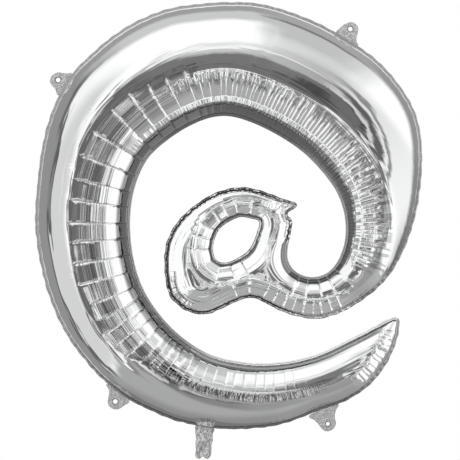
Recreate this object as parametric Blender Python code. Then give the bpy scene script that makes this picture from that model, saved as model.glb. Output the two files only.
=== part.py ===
"""Foil balloon in the shape of an at sign.

Two panels of metallised film, heat-sealed round the outline and round the hole of the small
letter. Hanging tabs and a flat filling neck are hinged on the seam by their own film.
Metres, +Z up, the front faces -Y, and the origin is the middle of the balloon's body.
"""

import bpy
import numpy as np
from mathutils import Vector
from mathutils.geometry import delaunay_2d_cdt

for old in list(bpy.data.objects):
    bpy.data.objects.remove(old, do_unlink=True)

# Real sizes. The film is drawn thicker than the real one so that it is a solid.
BODY_HEIGHT = 0.830
FILM = 0.0016
SEAL = 0.005
GAP = 0.0003
FULLNESS = 0.80
TAB_FILM = 0.0010
NECK_FILM = 0.0005

# The drawing is measured in units across (right) and down; the body is 427 units high.
UNIT = BODY_HEIGHT / 427.0
MIDDLE = (229.0, 216.0)

# Outer edge of the heat seal, clockwise from the tail's tip: (across, down).
OUTLINE = [
    (398.5, 319), (399.5, 327), (396, 344), (386, 365), (371, 384), (355, 396), (338, 404.5),
    (325, 408), (312, 413), (296, 420), (274, 426), (244, 429), (214, 428.5), (197, 425.5),
    (176, 421), (154, 412), (130, 400.5), (110, 386), (95, 372), (80, 354), (66, 334), (53, 307),
    (44, 280), (38, 250), (35, 225), (36, 200), (39, 168), (45, 133), (57, 99), (74, 71),
    (91, 54.5), (110, 38), (134, 22.5), (167, 9), (198, 4), (230, 2), (259, 3.5), (293, 13),
    (325, 26.5), (357, 45.5), (377, 60), (393, 77), (407, 96), (418, 120), (422, 147), (422, 170),
    (418, 204), (410, 235), (399, 260), (386, 280), (368, 296), (344, 311), (319, 319),
    (298, 317), (282, 311.5), (267, 304), (257, 298.7), (247, 298), (236, 301.5), (223, 308),
    (211, 313.5), (199, 314.5), (187, 311.5), (177, 304.5), (169.5, 296), (165.5, 281),
    (164, 264), (166, 243), (173.5, 227), (184, 214), (197, 203.5), (211, 194.5), (226, 189),
    (242, 187), (257, 189), (274, 195.5), (290, 200.7), (296, 202.5), (297, 205.5), (293, 209.5),
    (288.3, 212.5), (287.5, 215.5), (290.5, 218), (292.5, 222.5), (291, 233), (287.5, 247),
    (288, 260), (294, 270), (303, 275.5), (314, 277), (326, 273.5), (336.5, 263.5), (344, 246),
    (346, 230), (344.5, 214), (338, 194), (325, 175), (303, 152), (275, 133.5), (252, 122.5),
    (230, 116), (212, 117), (190, 125.5), (166, 141), (148, 158), (136, 183), (130.5, 210),
    (130.5, 238), (135, 266), (143, 289), (156, 310), (173, 329.5), (191, 344), (212, 355.5),
    (235, 361), (260, 363.5), (290, 361), (318, 354), (346, 341), (371, 328.5), (388, 319),
    (393.5, 317),
]

# The hole of the small letter, the same way round.
COUNTER = [
    (258, 220.5), (251, 218.5), (241, 217), (230, 221), (220, 228.5), (214.5, 239), (213, 250),
    (215.5, 259), (221, 262.3), (229, 262), (239, 257.5), (248, 251), (254, 241.5), (257.5, 231),
    (259.5, 224),
]

# Where the neck is lapped on the front panel, the two panels are sealed flat: (across, down).
LAP = [(196.8, 421.2), (213.6, 421.2), (213.6, 427.6), (196.8, 425.0)]

# Hanging tabs: the two ends of the hinge, the hole's middle, the hole's radius, then the rim.
TABS = {
    "tab_upper_left": {
        "hinge": [(58.2, 96.5), (72.8, 72.5)],
        "hole": (58.2, 80),
        "hole_radius": 2.35,
        "rim": [
            (56.8, 94), (55.4, 89.5), (52.6, 86), (50.4, 82.8), (50, 80), (51, 77), (54, 74),
            (58, 72.4), (63, 73.1), (68, 73.3),
        ],
    },
    "tab_upper_right": {
        "hinge": [(336, 32.6), (359, 46.6)],
        "hole": (350.3, 29),
        "hole_radius": 2.3,
        "rim": [
            (340, 28), (344, 24.6), (349.5, 22.4), (353.4, 22.6), (356.6, 25), (358.3, 28),
            (358, 32), (356.8, 37), (356.6, 41),
        ],
    },
    "tab_lower_left": {
        "hinge": [(129.5, 401.5), (106, 384.5)],
        "hole": (115.3, 401.5),
        "hole_radius": 2.4,
        "rim": [
            (124.5, 405.3), (120, 408.4), (116, 409.5), (112, 408.4), (109, 406), (107.8, 403),
            (108, 399), (109, 394), (108.8, 390),
        ],
    },
    "tab_lower_right": {
        "hinge": [(339, 404.8), (309, 416.8)],
        "hole": (327.9, 423.8),
        "hole_radius": 2.0,
        "rim": [
            (336.3, 409.5), (335.2, 413.5), (335, 418), (336, 422.5), (335.3, 426), (333, 429),
            (329, 431.2), (325, 430.9), (321, 428), (317.8, 423.5), (314, 420),
        ],
    },
}

# The filling neck hangs from the bottom seam and ends in two rounded lobes.
NECK = {
    "hinge": [(214.2, 428.6), (195.8, 425.4)],
    "rim": [
        (212.6, 440), (211.4, 450), (210.8, 455), (208.5, 458.6), (205, 458.4), (202.6, 456.6),
        (200, 458.6), (196.8, 458), (195.4, 455), (195.6, 448), (195.6, 438),
    ],
}
VALVE_END = 447.0
VALVE_REACH = 0.0009


# Points of the drawing, as x and z in metres.
def metres(points):
    """Drawing units to metres in the balloon's frame."""
    p = np.array(points, float)
    return np.stack([(p[:, 0] - MIDDLE[0]) * UNIT, (MIDDLE[1] - p[:, 1]) * UNIT], axis=1)


def smooth_loop(points, step):
    """A closed curve through the points, with its samples about one step apart."""
    out = []
    n = len(points)
    for i in range(n):
        p0, p1, p2, p3 = (points[(i + k) % n] for k in (-1, 0, 1, 2))
        steps = ((p0, p1), (p1, p2), (p2, p3))
        d01, d12, d23 = (max(np.linalg.norm(b - a), 1e-9) ** 0.5 for a, b in steps)
        m1 = (p2 - p1) + d12 * ((p1 - p0) / d01 - (p2 - p0) / (d01 + d12))
        m2 = (p2 - p1) + d12 * ((p3 - p2) / d23 - (p3 - p1) / (d12 + d23))
        pieces = max(1, int(round(np.linalg.norm(p2 - p1) / step)))
        for j in range(pieces):
            t = j / pieces
            out.append(
                (2 * t**3 - 3 * t**2 + 1) * p1
                + (t**3 - 2 * t**2 + t) * m1
                + (-2 * t**3 + 3 * t**2) * p2
                + (t**3 - t**2) * m2
            )
    return np.array(out)


def area_of(loop):
    """The signed area inside a closed line."""
    x, z = loop[:, 0], loop[:, 1]
    return 0.5 * float(np.sum(x * np.roll(z, -1) - np.roll(x, -1) * z))


def inward_normals(loop, solid_inside):
    """The unit normal at each sample, towards the film."""
    t = np.roll(loop, -1, axis=0) - np.roll(loop, 1, axis=0)
    t /= np.linalg.norm(t, axis=1)[:, None]
    n = np.stack([-t[:, 1], t[:, 0]], axis=1)
    turn = 1.0 if (area_of(loop) > 0) == solid_inside else -1.0
    return n * turn


def distance_to(points, loops):
    """How far each point is from the nearest edge of the loops."""
    best = np.full(len(points), np.inf)
    for loop in loops:
        a, b = loop, np.roll(loop, -1, axis=0)
        d = b - a
        length = np.maximum((d * d).sum(1), 1e-15)
        for start in range(0, len(points), 500):
            p = points[start : start + 500, None, :]
            t = np.clip(((p - a) * d).sum(2) / length, 0, 1)
            gap = np.linalg.norm(p - a - t[:, :, None] * d, axis=2).min(axis=1)
            best[start : start + 500] = np.minimum(best[start : start + 500], gap)
    return best


def inside(points, loops):
    """Even-odd test against all the loops together."""
    odd = np.zeros(len(points), bool)
    for loop in loops:
        a, b = loop, np.roll(loop, -1, axis=0)
        for start in range(0, len(points), 500):
            x = points[start : start + 500, 0:1]
            z = points[start : start + 500, 1:2]
            spans = (a[:, 1] > z) != (b[:, 1] > z)
            rise = np.where(np.abs(b[:, 1] - a[:, 1]) < 1e-12, 1e-12, b[:, 1] - a[:, 1])
            left = x < (b[:, 0] - a[:, 0]) * (z - a[:, 1]) / rise + a[:, 0]
            odd[start : start + 500] ^= (np.sum(spans & left, axis=1) % 2).astype(bool)
    return odd


def sparse(points, least):
    """The points in order, without any that is nearer than least to one already kept."""
    kept = []
    cells = {}
    for p in points:
        key = (int(np.floor(p[0] / least)), int(np.floor(p[1] / least)))
        around = [(key[0] + i, key[1] + j) for i in (-1, 0, 1) for j in (-1, 0, 1)]
        near = [q for cell in around for q in cells.get(cell, [])]
        if all(np.hypot(p[0] - q[0], p[1] - q[1]) >= least for q in near):
            kept.append(p)
            cells.setdefault(key, []).append(p)
    return np.array(kept).reshape(-1, 2)


# Flat layout of one panel: rows that follow the seam, then an even fill.
STEP = 0.0150
ROWS = (0.0, 0.0016, 0.0065, 0.0150, 0.0270)
edge = smooth_loop(metres(OUTLINE), STEP)
hole = smooth_loop(metres(COUNTER), STEP * 0.8)
loops = [edge, hole]
lap = metres(LAP)

layout = [edge, hole]
for row in ROWS:
    depth = SEAL + row
    points = np.concatenate(
        [
            edge + inward_normals(edge, True) * depth,
            hole + inward_normals(hole, False) * depth,
        ]
    )
    points = points[inside(points, loops)]
    points = points[distance_to(points, loops) > depth * 0.985]
    layout.append(sparse(points, STEP * 0.45))
low, high = edge.min(axis=0), edge.max(axis=0)
fill = []
pitch = 0.0215
for j in range(int((high[1] - low[1]) / (pitch * 0.866)) + 1):
    for i in range(int((high[0] - low[0]) / pitch) + 1):
        fill.append((low[0] + (i + 0.5 * (j % 2)) * pitch, low[1] + j * pitch * 0.866))
fill = np.array(fill)
fill = fill[inside(fill, loops)]
fill = fill[distance_to(fill, loops) > SEAL + ROWS[-1] + 0.5 * pitch]
layout.append(fill)
layout = np.concatenate(layout)

# The lap's corners and sides are points of the layout, and nothing else is near them.
lap_rim = np.concatenate([np.linspace(lap[k], lap[(k + 1) % 4], 5)[:-1] for k in range(4)])
lap_rim = lap_rim[distance_to(lap_rim, loops) > 0.0012]
near_lap = distance_to(layout, [lap]) < 0.0028
near_lap[: len(edge) + len(hole)] = False
layout = np.concatenate([layout[~near_lap], lap_rim])

rim_edges = [(i, (i + 1) % len(edge)) for i in range(len(edge))]
rim_edges += [(len(edge) + i, len(edge) + (i + 1) % len(hole)) for i in range(len(hole))]
first_lap = len(layout) - len(lap_rim)
for i in range(len(lap_rim)):
    j = (i + 1) % len(lap_rim)
    if np.linalg.norm(lap_rim[i] - lap_rim[j]) < 0.010:
        rim_edges.append((first_lap + i, first_lap + j))
flat, _, faces, _, _, _ = delaunay_2d_cdt([Vector(p) for p in layout], rim_edges, [], 0, 1e-7)
flat = np.array([(v.x, v.y) for v in flat])
faces = np.array(faces)
faces = faces[inside(flat[faces].mean(axis=1), loops)]
a, b, c = (flat[faces[:, k]] for k in range(3))
area2 = (b[:, 0] - a[:, 0]) * (c[:, 1] - a[:, 1]) - (b[:, 1] - a[:, 1]) * (c[:, 0] - a[:, 0])
faces = faces[np.abs(area2) > 1e-10]
area2 = area2[np.abs(area2) > 1e-10]
faces[area2 < 0] = faces[area2 < 0][:, ::-1]

# The inflated height: an even pressure on a tight skin that is held down along the seal.
depth = distance_to(flat, loops)
on_lap = inside(flat, [lap]) | (distance_to(flat, [lap]) < 0.0002)
held = (depth < SEAL + 0.0002) | on_lap
count = len(flat)
stiff = np.zeros((count, count))
load = np.zeros(count)
a, b, c = (flat[faces[:, k]] for k in range(3))
area = (b[:, 0] - a[:, 0]) * (c[:, 1] - a[:, 1]) - (b[:, 1] - a[:, 1]) * (c[:, 0] - a[:, 0])
area = 0.5 * np.abs(area)
sides = [c - b, a - c, b - a]
for i in range(3):
    np.add.at(load, faces[:, i], area / 3)
    for j in range(3):
        np.add.at(stiff, (faces[:, i], faces[:, j]), (sides[i] * sides[j]).sum(1) / (4 * area))
free = np.nonzero(~held)[0]
level = np.zeros(count)
level[free] = np.linalg.solve(stiff[np.ix_(free, free)], load[free])
height = FULLNESS * np.sqrt(2 * np.maximum(level, 0))


def make_object(name, vertices, polygons, color, metallic=0.0, rough=0.4):
    mesh = bpy.data.meshes.new(name)
    mesh.from_pydata([tuple(v) for v in vertices], [], [tuple(int(i) for i in p) for p in polygons])
    mesh.validate()
    mesh.update()
    ob = bpy.data.objects.new(name, mesh)
    bpy.context.scene.collection.objects.link(ob)
    material = bpy.data.materials.new(name)
    material.use_nodes = True
    shader = material.node_tree.nodes["Principled BSDF"]
    shader.inputs["Base Color"].default_value = (*color, 1.0)
    shader.inputs["Metallic"].default_value = metallic
    shader.inputs["Roughness"].default_value = rough
    mesh.materials.append(material)
    return ob


# Front and back panels: a dished skin with a flat seal.
def panel(name, side):
    """side is -1 for the front and +1 for the back."""
    outer = np.stack([flat[:, 0], -(GAP / 2 + FILM + height), flat[:, 1]], axis=1)
    tri = outer[faces]
    cross = np.cross(tri[:, 1] - tri[:, 0], tri[:, 2] - tri[:, 0])
    normal = np.zeros_like(outer)
    for k in range(3):
        np.add.at(normal, faces[:, k], cross)
    normal /= np.maximum(np.linalg.norm(normal, axis=1), 1e-12)[:, None]
    normal *= np.where(normal[:, 1] > 0, -1.0, 1.0)[:, None]
    shift = -normal * FILM
    shift[held] = (0.0, FILM, 0.0)
    across = np.hypot(shift[:, 0], shift[:, 2])
    room = 0.8 * np.maximum(np.minimum(depth - SEAL, distance_to(flat, [lap])), 0)
    scale = np.minimum(1.0, room / np.maximum(across, 1e-9))
    shift[:, 0] *= scale
    shift[:, 2] *= scale
    inner = outer + shift
    inner[:, 1] = np.minimum(inner[:, 1], -GAP / 2)
    polygons = []
    for f in faces:
        polygons.append((f[0], f[1], f[2]))
        polygons.append((f[0] + count, f[2] + count, f[1] + count))
    seen = {}
    for f in faces:
        for k in range(3):
            seen[(int(f[k]), int(f[(k + 1) % 3]))] = True
    for i, j in seen:
        if (j, i) not in seen:
            polygons.append((i, i + count, j + count))
            polygons.append((i, j + count, j))
    vertices = np.concatenate([outer, inner])
    if side > 0:
        vertices = vertices * np.array([1.0, -1.0, 1.0])
        polygons = [p[::-1] for p in polygons]
    return make_object(name, vertices, polygons, (0.80, 0.80, 0.81), metallic=1.0, rough=0.12)


panel("front_panel", -1)
panel("back_panel", 1)


# A flat film plate with an optional punched hole, from a rim in x and z.
def plate(name, rim, y_front, y_back, origin, color, hole_middle=None, hole_radius=0.0):
    if area_of(rim) < 0:
        rim = rim[::-1]
    points = list(rim)
    edges = [(i, (i + 1) % len(rim)) for i in range(len(rim))]
    rims = [rim]
    if hole_middle is not None:
        turns = np.arange(20) * 2 * np.pi / 20
        ring = hole_middle + hole_radius * np.stack([np.cos(turns), np.sin(turns)], axis=1)
        edges += [(len(points) + i, len(points) + (i + 1) % 20) for i in range(20)]
        points += list(ring)
        rims.append(ring)
    out, _, tris, _, _, _ = delaunay_2d_cdt([Vector(p) for p in points], edges, [], 0, 1e-7)
    out = np.array([(v.x, v.y) for v in out])
    tris = np.array(tris)
    tris = tris[inside(out[tris].mean(axis=1), rims)]
    p, q, r = (out[tris[:, k]] for k in range(3))
    turn = (q[:, 0] - p[:, 0]) * (r[:, 1] - p[:, 1]) - (q[:, 1] - p[:, 1]) * (r[:, 0] - p[:, 0])
    tris = tris[np.abs(turn) > 1e-12]
    turn = turn[np.abs(turn) > 1e-12]
    tris[turn < 0] = tris[turn < 0][:, ::-1]
    n = len(out)
    front = np.stack([out[:, 0], np.full(n, y_front), out[:, 1]], axis=1)
    back = front + np.array([0.0, y_back - y_front, 0.0])
    polygons = []
    for f in tris:
        polygons.append((f[0], f[1], f[2]))
        polygons.append((f[0] + n, f[2] + n, f[1] + n))
    seen = {(int(f[k]), int(f[(k + 1) % 3])) for f in tris for k in range(3)}
    for i, j in sorted(seen):
        if (j, i) not in seen:
            polygons.append((i, i + n, j + n))
            polygons.append((i, j + n, j))
    vertices = np.concatenate([front, back]) - np.array(origin)
    ob = make_object(name, vertices, polygons, color, metallic=0.6, rough=0.35)
    ob.location = origin
    return ob


# Where a film hinge lies: on the seam's chord, moved out until it clears the seal's edge.
def hinge_line(ends, clear):
    p, q = metres(ends)
    along = (q - p) / np.linalg.norm(q - p)
    out = np.array([-along[1], along[0]])
    if out @ (p + q) < 0:
        out = -out
    reach = [
        float((v - p) @ out)
        for v in smooth_loop(metres(OUTLINE), 0.001)
        if -0.004 < (v - p) @ along < np.linalg.norm(q - p) + 0.004 and abs((v - p) @ out) < 0.02
    ]
    move = max(reach) + clear
    return p + out * move, q + out * move, along, out


def free_rim(points, start, end, out, step):
    """The rim from one end of the hinge round to the other, smooth through the points."""
    fine = smooth_loop(np.array([end, start] + points), step)
    line = [v for v in fine if (v - start) @ out > 0.0006]
    first = int(np.argmin([np.linalg.norm(v - start) for v in line]))
    line = line[first:] + line[:first]
    if np.linalg.norm(line[1] - start) > np.linalg.norm(line[-1] - start):
        line = line[::-1]
        line = line[-1:] + line[:-1]
    return np.array([start] + line + [end])


# Hanging tabs.
TAB_COLOR = (0.55, 0.55, 0.56)
for name, tab in TABS.items():
    start, end, along, out = hinge_line(tab["hinge"], TAB_FILM / 2 + GAP)
    points = [v for v in metres(tab["rim"]) if (v - start) @ out > 0.0008]
    rim = free_rim(points, start, end, out, 0.0030)
    middle = (start + end) / 2
    plate(
        name,
        rim,
        -TAB_FILM / 2,
        TAB_FILM / 2,
        (float(middle[0]), 0.0, float(middle[1])),
        TAB_COLOR,
        metres([tab["hole"]])[0],
        tab["hole_radius"] * UNIT,
    )


# The filling neck: front film, valve film and back film, open at the mouth.
stack = 3 * NECK_FILM + 2 * GAP
start, end, along, out = hinge_line(NECK["hinge"], stack / 2 + GAP)
middle = (start + end) / 2
origin = (float(middle[0]), 0.0, float(middle[1]))
neck_rim = free_rim(list(metres(NECK["rim"])), start, end, out, 0.0040)
neck_face = -stack / 2
plate("neck_front", neck_rim, neck_face, neck_face + NECK_FILM, origin, (0.50, 0.50, 0.51))
plate("neck_back", neck_rim, -neck_face - NECK_FILM, -neck_face, origin, (0.50, 0.50, 0.51))
half = np.linalg.norm(end - start) / 2 - 2.2 * UNIT
valve_low = float(metres([(200, VALVE_END)])[0][1])
root = middle - out * VALVE_REACH
left_root, right_root = root + along * half, root - along * half
left_low, right_low = (left_root[0], valve_low), (right_root[0] - 0.0015, valve_low)
valve = np.array([left_root, left_low, right_low, right_root])
plate("neck_valve", valve, -NECK_FILM / 2, NECK_FILM / 2, origin, (0.75, 0.75, 0.74))

# The neck's lap on the front panel.
lap_front = -(GAP / 2 + FILM + GAP + NECK_FILM)
centre = lap.mean(axis=0)
patch = centre + (lap - centre) * 0.93
plate("neck_lap", patch, lap_front, lap_front + NECK_FILM, (0.0, 0.0, 0.0), (0.70, 0.70, 0.70))
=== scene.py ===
"""The looks of the foil balloon: an at sign of silver film, its tabs and its filling neck."""

import math

import bpy
import numpy as np
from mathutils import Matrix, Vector
from mathutils.geometry import delaunay_2d_cdt
from mathutils.kdtree import KDTree


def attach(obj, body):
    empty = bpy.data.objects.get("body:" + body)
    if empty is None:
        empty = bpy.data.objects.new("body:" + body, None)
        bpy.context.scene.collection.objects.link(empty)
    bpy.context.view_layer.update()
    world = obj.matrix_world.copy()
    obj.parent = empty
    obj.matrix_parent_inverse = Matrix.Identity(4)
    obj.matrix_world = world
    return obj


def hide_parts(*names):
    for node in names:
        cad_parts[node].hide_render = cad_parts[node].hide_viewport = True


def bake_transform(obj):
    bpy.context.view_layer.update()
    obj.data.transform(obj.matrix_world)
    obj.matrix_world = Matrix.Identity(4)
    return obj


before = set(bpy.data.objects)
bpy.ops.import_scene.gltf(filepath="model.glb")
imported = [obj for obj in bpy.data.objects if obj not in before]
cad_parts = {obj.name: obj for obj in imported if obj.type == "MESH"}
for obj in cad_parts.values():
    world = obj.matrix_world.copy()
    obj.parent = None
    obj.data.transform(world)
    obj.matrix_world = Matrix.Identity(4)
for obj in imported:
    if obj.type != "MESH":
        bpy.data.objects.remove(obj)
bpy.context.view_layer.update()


# The cut sheets. A sign balloon is two sheets of metallised film, die-cut to one outline and
# laid face to face. The outline is drawn in units of which the body is 427 high, and the
# body is 0.83 m high when it is filled.
unit = 0.830 / 427.0
drawing_middle = np.array([229.0, 216.0])
sheet_outline = [
    (398.5, 319), (399.5, 327), (396, 344), (386, 365), (371, 384), (355, 396), (338, 404.5),
    (325, 408), (312, 413), (296, 420), (274, 426), (244, 429), (214, 428.5), (197, 425.5),
    (176, 421), (154, 412), (130, 400.5), (110, 386), (95, 372), (80, 354), (66, 334), (53, 307),
    (44, 280), (38, 250), (35, 225), (36, 200), (39, 168), (45, 133), (57, 99), (74, 71),
    (91, 54.5), (110, 38), (134, 22.5), (167, 9), (198, 4), (230, 2), (259, 3.5), (293, 13),
    (325, 26.5), (357, 45.5), (377, 60), (393, 77), (407, 96), (418, 120), (422, 147), (422, 170),
    (418, 204), (410, 235), (399, 260), (386, 280), (368, 296), (344, 311), (319, 319),
    (298, 317), (282, 311.5), (267, 304), (257, 298.7), (247, 298), (236, 301.5), (223, 308),
    (211, 313.5), (199, 314.5), (187, 311.5), (177, 304.5), (169.5, 296), (165.5, 281),
    (164, 264), (166, 243), (173.5, 227), (184, 214), (197, 203.5), (211, 194.5), (226, 189),
    (242, 187), (257, 189), (274, 195.5), (290, 200.7), (296, 202.5), (297, 205.5), (293, 209.5),
    (288.3, 212.5), (287.5, 215.5), (290.5, 218), (292.5, 222.5), (291, 233), (287.5, 247),
    (288, 260), (294, 270), (303, 275.5), (314, 277), (326, 273.5), (336.5, 263.5), (344, 246),
    (346, 230), (344.5, 214), (338, 194), (325, 175), (303, 152), (275, 133.5), (252, 122.5),
    (230, 116), (212, 117), (190, 125.5), (166, 141), (148, 158), (136, 183), (130.5, 210),
    (130.5, 238), (135, 266), (143, 289), (156, 310), (173, 329.5), (191, 344), (212, 355.5),
    (235, 361), (260, 363.5), (290, 361), (318, 354), (346, 341), (371, 328.5), (388, 319),
    (393.5, 317),
]
letter_hole = [
    (258, 220.5), (251, 218.5), (241, 217), (230, 221), (220, 228.5), (214.5, 239), (213, 250),
    (215.5, 259), (221, 262.3), (229, 262), (239, 257.5), (248, 251), (254, 241.5), (257.5, 231),
    (259.5, 224),
]


def to_metres(points):
    """Drawing units to x and z in metres."""
    return (np.array(points, float) - drawing_middle) * np.array([unit, -unit])


def way_along(points):
    """How far each point lies from the first one, along the line."""
    return np.concatenate([[0], np.cumsum(np.linalg.norm(np.diff(points, axis=0), axis=1))])


def round_the_loop(points, step):
    """Evenly spaced points on one smooth closed curve through the drawn ones."""
    dense = []
    n = len(points)
    for i in range(n):
        p0, p1, p2, p3 = (points[(i + k) % n] for k in (-1, 0, 1, 2))
        legs = ((p0, p1), (p1, p2), (p2, p3))
        d01, d12, d23 = (math.sqrt(max(math.dist(a, b), 1e-9)) for a, b in legs)
        m1 = (p2 - p1) + d12 * ((p1 - p0) / d01 - (p2 - p0) / (d01 + d12))
        m2 = (p2 - p1) + d12 * ((p3 - p2) / d23 - (p3 - p1) / (d12 + d23))
        for t in np.linspace(0, 1, 33)[:-1]:
            dense.append(
                (2 * t**3 - 3 * t**2 + 1) * p1
                + (t**3 - 2 * t**2 + t) * m1
                + (3 * t**2 - 2 * t**3) * p2
                + (t**3 - t**2) * m2
            )
    dense = np.array(dense + dense[:1])
    way = way_along(dense)
    count = int(round(way[-1] / step))
    at = np.linspace(0, way[-1], count + 1)[:-1]
    return np.stack([np.interp(at, way, dense[:, k]) for k in (0, 1)], axis=1)


def soften(values, width):
    """A running average round a closed row of values."""
    reach = int(3 * width)
    kernel = np.exp(-0.5 * (np.arange(-reach, reach + 1) / width) ** 2)
    kernel /= kernel.sum()
    out = np.zeros_like(values)
    for k, weight in zip(range(-reach, reach + 1), kernel):
        out += weight * np.roll(values, k, axis=0)
    return out


def faired(loop):
    """The loop with the small wobble of its drawn points taken out, and its tight turns kept."""
    eased = soften(loop, 14)
    off = np.linalg.norm(eased - loop, axis=1)
    keep = soften(np.clip((off - 0.0006) / 0.0012, 0, 1), 8)[:, None]
    return keep * loop + (1 - keep) * eased


loop_step = 0.001
loops = [faired(round_the_loop(to_metres(p), loop_step)) for p in (sheet_outline, letter_hole)]


class Seam:
    """One sealed edge: its points, its normals towards the film and its bend."""

    def __init__(self, loop, film_inside):
        self.points = loop
        self.count = len(loop)
        ahead = np.roll(loop, -1, axis=0) - np.roll(loop, 1, axis=0)
        step = np.linalg.norm(ahead, axis=1)
        self.along = ahead / step[:, None]
        turned = np.stack([-self.along[:, 1], self.along[:, 0]], axis=1)
        x, z = loop[:, 0], loop[:, 1]
        area = np.sum(x * np.roll(z, -1) - np.roll(x, -1) * z)
        self.inward = turned * (1.0 if (area > 0) == film_inside else -1.0)
        self.way = way_along(np.vstack([loop, loop[:1]]))
        self.length = self.way[-1]
        turning = np.roll(self.inward, -1, axis=0) - np.roll(self.inward, 1, axis=0)
        self.bend = soften(np.sum(turning * self.along, axis=1) / step, 25)

    def at(self, s):
        """Point and inward normal at distances s round the seam."""
        place = np.interp(np.mod(s, self.length), self.way, np.arange(self.count + 1))
        low = np.floor(place).astype(int) % self.count
        high = (low + 1) % self.count
        share = (place - np.floor(place))[:, None]
        point = self.points[low] * (1 - share) + self.points[high] * share
        normal = self.inward[low] * (1 - share) + self.inward[high] * share
        return point, normal / np.linalg.norm(normal, axis=1)[:, None]

    def nearest(self, drawn):
        """How far round the seam a drawn point lies."""
        gap = np.linalg.norm(self.points - to_metres([drawn])[0], axis=1)
        return float(self.way[int(gap.argmin())])


outer_seam = Seam(loops[0], True)
hole_seam = Seam(loops[1], False)

# The gathers. The film on the hole side of a tube is longer than the path it has to follow
# when the balloon fills, so it creases across the tube. Pleats are wide on the left of the
# ring and fine over its top and right, where the curve is even.
# Columns: seam, from, to, pitch, unevenness, reach, groove, half width, tilt, ripple, group.
gathers = [
    (outer_seam, (338, 261), (345, 240), 0.0066, 0.50, 0.064, 0.0008, 0.0011, 0.0006, 0.00052, "ring"),
    (outer_seam, (345, 240), (344, 210), 0.0066, 0.50, 0.076, 0.0008, 0.0011, 0.0006, 0.00052, "ring"),
    (outer_seam, (344, 210), (318, 167), 0.0066, 0.50, 0.088, 0.0008, 0.0011, 0.0006, 0.00044, "ring"),
    (outer_seam, (318, 167), (222, 115.5), 0.0068, 0.35, 0.084, 0.0007, 0.0010, 0.0004, 0.00012, "ring"),
    (outer_seam, (222, 115.5), (203, 120), 0.0130, 0.20, 0.088, 0.0006, 0.0010, 0.0003, 0.00014, "ring"),
    (outer_seam, (203, 120), (166, 141), 0.0260, 0.12, 0.104, 0.0009, 0.0014, 0.0008, 0.00026, "ring"),
    (outer_seam, (166, 141), (141, 284), 0.0300, 0.10, 0.120, 0.0011, 0.0017, 0.0012, 0.00034, "ring"),
    (outer_seam, (141, 284), (173, 329.5), 0.0210, 0.12, 0.108, 0.0010, 0.0016, 0.0014, 0.00038, "ring"),
    (outer_seam, (173, 329.5), (204, 352), 0.0130, 0.25, 0.086, 0.0007, 0.0012, 0.0012, 0.00044, "ring"),
    (outer_seam, (204, 352), (300, 359.5), 0.0170, 0.30, 0.056, 0.0002, 0.0010, 0.0002, 0.00005, "ring"),
    (outer_seam, (300, 359.5), (392, 317.5), 0.0300, 0.10, 0.050, 0.0000, 0.0010, 0.0000, 0.00000, "ring"),
    (outer_seam, (293.5, 269), (338, 261), 0.0165, 0.15, 0.056, 0.0010, 0.0014, 0.0010, 0.00024, "bend"),
    (outer_seam, (354, 305), (229, 305), 0.0215, 0.15, 0.042, 0.0011, 0.0015, 0.0012, 0.00020, "foot"),
    (hole_seam, (256, 220), (238, 258), 0.0175, 0.22, 0.044, 0.0011, 0.0015, 0.0022, 0.00050, "letter hole"),
    (outer_seam, (399.5, 324), (362, 391), 0.0125, 0.70, 0.034, 0.0009, 0.0014, 0.0030, 0.00020, "tail end"),
    (outer_seam, (268, 193), (288.3, 212.5), 0.0090, 0.50, 0.034, 0.0009, 0.0013, 0.0026, 0.0003, "bowl end"),
    (outer_seam, (192, 313.5), (164.5, 272), 0.0110, 0.6, 0.024, 0.0009, 0.0013, 0.0026, 0.0003, "bowl foot"),
]

seal_width = 0.005
fine_pitch = 0.010
draws = np.random.default_rng(7)
columns = ("places", "reach", "groove", "half", "tilt", "ripple", "share")

groups = {}
for seam, first, last, pitch, uneven, reach, groove, half, tilt, ripple, group in gathers:
    start, end = seam.nearest(first), seam.nearest(last)
    if end <= start:
        end += seam.length
    number = max(2, int(round((end - start) / pitch)))
    places = np.linspace(start, end, number + 1)
    places[1:-1] += draws.uniform(-0.5, 0.5, number - 1) * uneven * pitch
    copies = number if group == "ring" else number + 1
    fine = pitch < fine_pitch
    line = groups.setdefault(group, {"seam": seam} | {column: [] for column in columns})
    line["places"] += list(places[:copies])
    line["reach"] += list(reach * (1 - draws.uniform(0, 0.16 if fine else 0.04, copies)))
    line["groove"] += list(groove * draws.uniform(0.60 if fine else 0.85, 1.15 if fine else 1.10, copies))
    line["half"] += [half] * copies
    line["tilt"] += list(tilt * draws.uniform(-1, 1, copies))
    line["ripple"] += [ripple] * copies
    line["share"] += [0.80 if fine else 0.88] * copies
for line in groups.values():
    for column in columns:
        line[column] = np.array(line[column], float)

# The layout of a sheet before it is filled: rows that follow the seam, closest together at
# the seal, with a line of points on every crease and on the sides of its groove.
rows = (
    0.0025, seal_width, 0.0053, 0.0061, 0.0074, 0.0094, 0.0120, 0.0152, 0.0190, 0.0233, 0.0280,
    0.0332, 0.0388, 0.0447, 0.0509, 0.0573, 0.0639, 0.0707, 0.0777, 0.0849, 0.0921, 0.0993,
    0.1065, 0.1137, 0.1209,
)
rows_at_seal = 6
plain_step, pleat_step = 0.0030, 0.0034
least_at_seal, least_on_pleats, least_elsewhere = 0.00030, 0.00045, 0.0023
nearly = 0.985


def crease_marks(line):
    """The distances round the seam that get a line of points between the first and last crease."""
    marks = []
    places, half = line["places"], line["half"]
    for k in range(len(places) - 1):
        span = places[k + 1] - places[k]
        near = half[k] * np.array([0.0, 0.5, 1.0])
        after = half[k + 1] * np.array([1.0, 0.5])
        room = span - near[-1] - after[0]
        steps = max(1, int(round(room / pleat_step)))
        between = near[-1] + room * np.arange(1, steps) / steps
        marks += list(places[k] + np.concatenate([near, between, span - after]))
    return np.array(marks + [places[-1]])


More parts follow.
